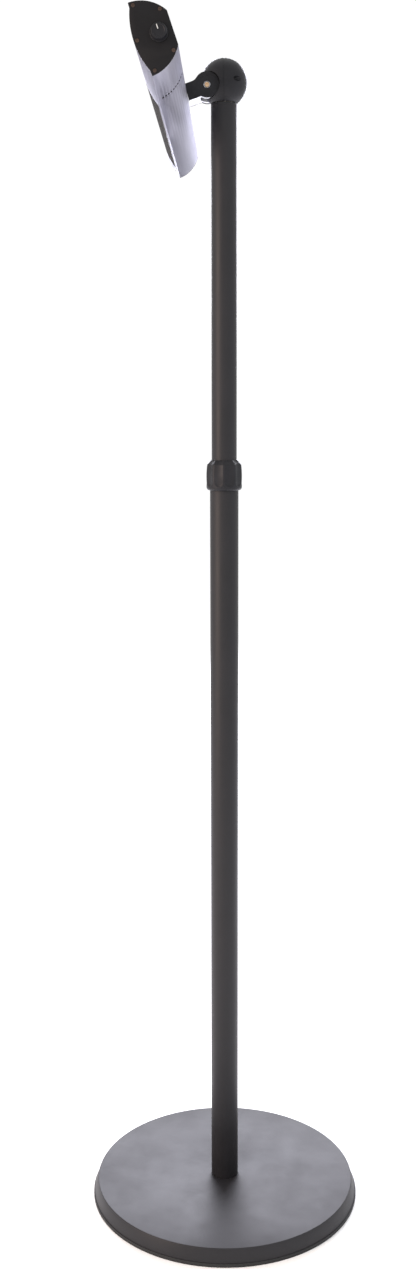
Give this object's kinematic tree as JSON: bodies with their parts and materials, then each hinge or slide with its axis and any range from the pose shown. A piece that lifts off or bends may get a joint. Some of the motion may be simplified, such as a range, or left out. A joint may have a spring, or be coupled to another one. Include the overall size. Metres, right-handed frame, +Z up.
{
  "type": "radiant heater on floor stand",
  "caption": "Slim tilting radiant heater bar on a ball head, telescopic pole with twist-lock collar, and a round weighted base.",
  "frame": {"origin": "centre of the base's underside, on the pole's axis", "axes": "+Z up along the pole; the heater bar's long axis runs along Y with its knob at the -Y end; the heater's face looks towards -X and 19 degrees down"},
  "size_m": [0.4145, 0.76, 1.7015],
  "materials": {
    "black_paint": "black powder coat, satin",
    "iron": "raw casting",
    "rubber": "moulded, matt",
    "steel": "zinc plated",
    "yellow_steel": "yellow passivated zinc",
    "black_plastic": "moulded, fine texture",
    "natural_nylon": "moulded",
    "aluminium": "brushed and clear anodised",
    "milled_aluminium": "milled and clear anodised",
    "polished_aluminium": "polished sheet",
    "quartz": "clear tube",
    "carbon": "woven carbon strand",
    "steatite": "fired, unglazed",
    "black_wire": "black heat-proof paint",
    "white_mark": "printed insert"
  },
  "bodies": {
    "stand": {"base_cover": "black_paint", "base_weight": "iron", "base_ring": "rubber", "foot_plug": "steel", "foot_bolt": "steel", "foot_washer": "steel", "lower_tube": "black_paint", "clutch_sleeve": "natural_nylon"},
    "clutch": {"clutch_collar": "black_plastic"},
    "mast": {"upper_tube": "black_paint", "slide_bush": "natural_nylon", "swivel_plug": "milled_aluminium", "swivel_washer": "natural_nylon"},
    "ball": {"ball_shell_front": "black_plastic", "ball_shell_rear": "black_plastic", "ball_screws": "steel"},
    "heater": {"fork_bracket": "milled_aluminium", "arm_cover_near": "black_plastic", "arm_cover_far": "black_plastic", "pivot_screw": "yellow_steel", "pivot_nut": "yellow_steel", "pivot_washers": "natural_nylon", "housing": "aluminium", "end_cap_near": "black_plastic", "end_cap_far": "black_plastic", "end_cap_screws_near": "yellow_steel", "end_cap_screws_far": "yellow_steel", "backing_plate": "steel", "bracket_screws": "steel", "reflector": "polished_aluminium", "heating_tube": "quartz", "filament": "carbon", "lamp_holders": "steatite", "safety_grille": "black_wire", "rotary_switch": "black_plastic", "terminal_block": "steatite", "thermal_cutout": "steel", "cable_gland": "black_plastic", "gland_nut": "black_plastic"},
    "knob": {"control_knob": "black_plastic", "knob_marker": "white_mark"}
  },
  "joints": [
    {"name": "collar_twist", "type": "hinge", "parent": "stand", "child": "clutch", "pos_m": [0, 0, 1.129], "axis": [0, 0, 1], "range_deg": [0, 120]},
    {"name": "mast_slide", "type": "slide", "parent": "stand", "child": "mast", "axis": [0, 0, 1], "range_m": [-0.45, 0.34]},
    {"name": "head_swivel", "type": "hinge", "parent": "mast", "child": "ball", "pos_m": [0, 0, 1.6422], "axis": [0, 0, 1], "range_deg": [-170, 170]},
    {"name": "heater_tilt", "type": "hinge", "parent": "ball", "child": "heater", "pos_m": [-0.0231, 0, 1.663], "axis": [0, -1, 0], "range_deg": [-15, 30]},
    {"name": "knob_turn", "type": "hinge", "parent": "heater", "child": "knob", "pos_m": [-0.06897, -0.38, 1.64509], "axis": [0, 1, 0], "range_deg": [0, 270]}
  ]
}
